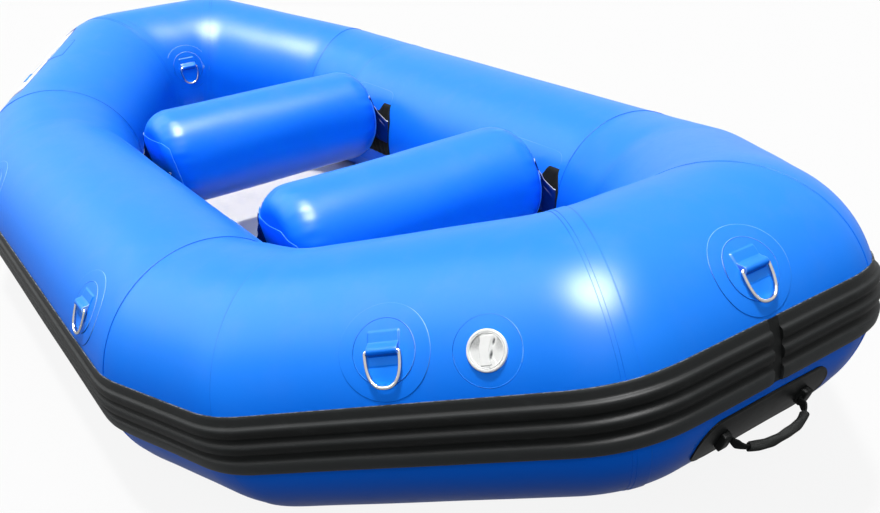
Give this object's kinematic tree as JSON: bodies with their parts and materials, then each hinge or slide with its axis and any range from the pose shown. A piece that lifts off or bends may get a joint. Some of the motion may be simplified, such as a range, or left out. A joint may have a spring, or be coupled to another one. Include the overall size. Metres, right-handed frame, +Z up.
{
  "type": "inflatable river raft",
  "caption": "Inflatable river raft: bent round hull tube with raised ends, cross thwarts, floor sheet, ribbed rub strip, swinging D-rings, carry handles and push valves.",
  "frame": {"origin": "on the ground under the middle of the raft, level with the flats under the side tubes", "axes": "+X to the bow, +Y to port, +Z up"},
  "size_m": [2.9298, 1.5944, 0.5907],
  "materials": {
    "blue_coated_fabric": "smooth semi-gloss coated fabric",
    "grey_coated_fabric": "matte coated fabric",
    "black_rubber": "matte moulded rubber",
    "black_webbing": "woven webbing",
    "stainless_steel": "polished wire",
    "white_plastic": "moulded plastic"
  },
  "bodies": {
    "hull": {"aft_thwart": "blue_coated_fabric", "aft_thwart_flap_port": "blue_coated_fabric", "aft_thwart_flap_starboard": "blue_coated_fabric", "aft_thwart_strap_port": "black_webbing", "aft_thwart_strap_starboard": "black_webbing", "aft_thwart_valve": "white_plastic", "d_ring_patch_bow_inner": "blue_coated_fabric", "d_ring_patch_bow_outer": "blue_coated_fabric", "d_ring_patch_bow_port_quarter": "blue_coated_fabric", "d_ring_patch_bow_port_side": "blue_coated_fabric", "d_ring_patch_bow_starboard_quarter": "blue_coated_fabric", "d_ring_patch_bow_starboard_side": "blue_coated_fabric", "d_ring_patch_stern_inner": "blue_coated_fabric", "d_ring_patch_stern_outer": "blue_coated_fabric", "d_ring_patch_stern_port_quarter": "blue_coated_fabric", "d_ring_patch_stern_port_side": "blue_coated_fabric", "d_ring_patch_stern_starboard_quarter": "blue_coated_fabric", "d_ring_patch_stern_starboard_side": "blue_coated_fabric", "end_tube_bow": "blue_coated_fabric", "end_tube_stern": "blue_coated_fabric", "floor_sheet": "grey_coated_fabric", "fore_thwart": "blue_coated_fabric", "fore_thwart_flap_port": "blue_coated_fabric", "fore_thwart_flap_starboard": "blue_coated_fabric", "fore_thwart_strap_port": "black_webbing", "fore_thwart_strap_starboard": "black_webbing", "fore_thwart_valve": "white_plastic", "handle_patch_bow": "black_rubber", "handle_patch_stern": "black_rubber", "quarter_tube_bow_port": "blue_coated_fabric", "quarter_tube_bow_starboard": "blue_coated_fabric", "quarter_tube_stern_port": "blue_coated_fabric", "quarter_tube_stern_starboard": "blue_coated_fabric", "rub_strip": "black_rubber", "rub_strip_splice_cover": "black_rubber", "side_baffle_port": "blue_coated_fabric", "side_baffle_starboard": "blue_coated_fabric", "side_tube_port": "blue_coated_fabric", "side_tube_starboard": "blue_coated_fabric", "valve_body_bow": "white_plastic", "valve_body_stern": "white_plastic"},
    "ring_bow_outer": {"d_ring_bow_outer": "stainless_steel"},
    "ring_bow_inner": {"d_ring_bow_inner": "stainless_steel"},
    "ring_stern_outer": {"d_ring_stern_outer": "stainless_steel"},
    "ring_stern_inner": {"d_ring_stern_inner": "stainless_steel"},
    "ring_bow_starboard_quarter": {"d_ring_bow_starboard_quarter": "stainless_steel"},
    "ring_bow_starboard_side": {"d_ring_bow_starboard_side": "stainless_steel"},
    "ring_stern_starboard_quarter": {"d_ring_stern_starboard_quarter": "stainless_steel"},
    "ring_stern_starboard_side": {"d_ring_stern_starboard_side": "stainless_steel"},
    "ring_stern_port_quarter": {"d_ring_stern_port_quarter": "stainless_steel"},
    "ring_stern_port_side": {"d_ring_stern_port_side": "stainless_steel"},
    "ring_bow_port_quarter": {"d_ring_bow_port_quarter": "stainless_steel"},
    "ring_bow_port_side": {"d_ring_bow_port_side": "stainless_steel"},
    "grip_bow": {"handle_grip_bow": "black_webbing"},
    "grip_stern": {"handle_grip_stern": "black_webbing"},
    "cap_bow": {"valve_cap_bow": "white_plastic"},
    "plunger_bow": {"valve_plunger_bow": "black_rubber"},
    "cap_stern": {"valve_cap_stern": "white_plastic"},
    "plunger_stern": {"valve_plunger_stern": "black_rubber"}
  },
  "joints": [
    {"name": "ring_swing_bow_outer", "type": "hinge", "parent": "hull", "child": "ring_bow_outer", "pos_m": [1.38072, 0, 0.52206], "axis": [0, -1, 0], "range_deg": [0, 194]},
    {"name": "ring_swing_bow_inner", "type": "hinge", "parent": "hull", "child": "ring_bow_inner", "pos_m": [0.979, 0, 0.41585], "axis": [0, 1, 0], "range_deg": [0, 194]},
    {"name": "ring_swing_stern_outer", "type": "hinge", "parent": "hull", "child": "ring_stern_outer", "pos_m": [-1.38072, 0, 0.52206], "axis": [0, 1, 0], "range_deg": [0, 194]},
    {"name": "ring_swing_stern_inner", "type": "hinge", "parent": "hull", "child": "ring_stern_inner", "pos_m": [-0.979, 0, 0.41585], "axis": [0, -1, 0], "range_deg": [0, 194]},
    {"name": "ring_swing_bow_starboard_quarter", "type": "hinge", "parent": "hull", "child": "ring_bow_starboard_quarter", "pos_m": [1.11661, -0.48908, 0.44838], "axis": [-0.7574, -0.6178, -0.2113], "range_deg": [0, 194]},
    {"name": "ring_swing_bow_starboard_side", "type": "hinge", "parent": "hull", "child": "ring_bow_starboard_side", "pos_m": [0.434, -0.76382, 0.34401], "axis": [-1, 0, 0], "range_deg": [0, 194]},
    {"name": "ring_swing_stern_starboard_quarter", "type": "hinge", "parent": "hull", "child": "ring_stern_starboard_quarter", "pos_m": [-1.11661, -0.48908, 0.44838], "axis": [-0.7574, 0.6178, 0.2113], "range_deg": [0, 194]},
    {"name": "ring_swing_stern_starboard_side", "type": "hinge", "parent": "hull", "child": "ring_stern_starboard_side", "pos_m": [-0.434, -0.76382, 0.34401], "axis": [-1, 0, 0], "range_deg": [0, 194]},
    {"name": "ring_swing_stern_port_quarter", "type": "hinge", "parent": "hull", "child": "ring_stern_port_quarter", "pos_m": [-1.11661, 0.48908, 0.44838], "axis": [0.7574, 0.6178, -0.2113], "range_deg": [0, 194]},
    {"name": "ring_swing_stern_port_side", "type": "hinge", "parent": "hull", "child": "ring_stern_port_side", "pos_m": [-0.434, 0.76382, 0.34401], "axis": [1, 0, 0], "range_deg": [0, 194]},
    {"name": "ring_swing_bow_port_quarter", "type": "hinge", "parent": "hull", "child": "ring_bow_port_quarter", "pos_m": [1.11661, 0.48908, 0.44838], "axis": [0.7574, -0.6178, 0.2113], "range_deg": [0, 194]},
    {"name": "ring_swing_bow_port_side", "type": "hinge", "parent": "hull", "child": "ring_bow_port_side", "pos_m": [0.434, 0.76382, 0.34401], "axis": [1, 0, 0], "range_deg": [0, 194]},
    {"name": "grip_fold_bow", "type": "hinge", "parent": "hull", "child": "grip_bow", "pos_m": [1.42202, 0, 0.27447], "axis": [0, 1, 0], "range_deg": [-70, 70]},
    {"name": "grip_fold_stern", "type": "hinge", "parent": "hull", "child": "grip_stern", "pos_m": [-1.42202, 0, 0.27447], "axis": [0, -1, 0], "range_deg": [-70, 70]},
    {"name": "cap_twist_bow", "type": "hinge", "parent": "hull", "child": "cap_bow", "pos_m": [1.24192, -0.38833, 0.4666], "axis": [0.4451, -0.7253, 0.5252], "range_deg": [0, 90]},
    {"name": "plunger_press_bow", "type": "slide", "parent": "hull", "child": "plunger_bow", "axis": [-0.4451, 0.7253, -0.5252], "range_m": [0, 0.006], "stiffness_N_per_m": 400, "springref_m": -0.008},
    {"name": "cap_twist_stern", "type": "hinge", "parent": "hull", "child": "cap_stern", "pos_m": [-1.24192, 0.38833, 0.4666], "axis": [-0.4451, 0.7253, 0.5252], "range_deg": [0, 90]},
    {"name": "plunger_press_stern", "type": "slide", "parent": "hull", "child": "plunger_stern", "axis": [0.4451, -0.7253, -0.5252], "range_m": [0, 0.006], "stiffness_N_per_m": 400, "springref_m": -0.008}
  ]
}
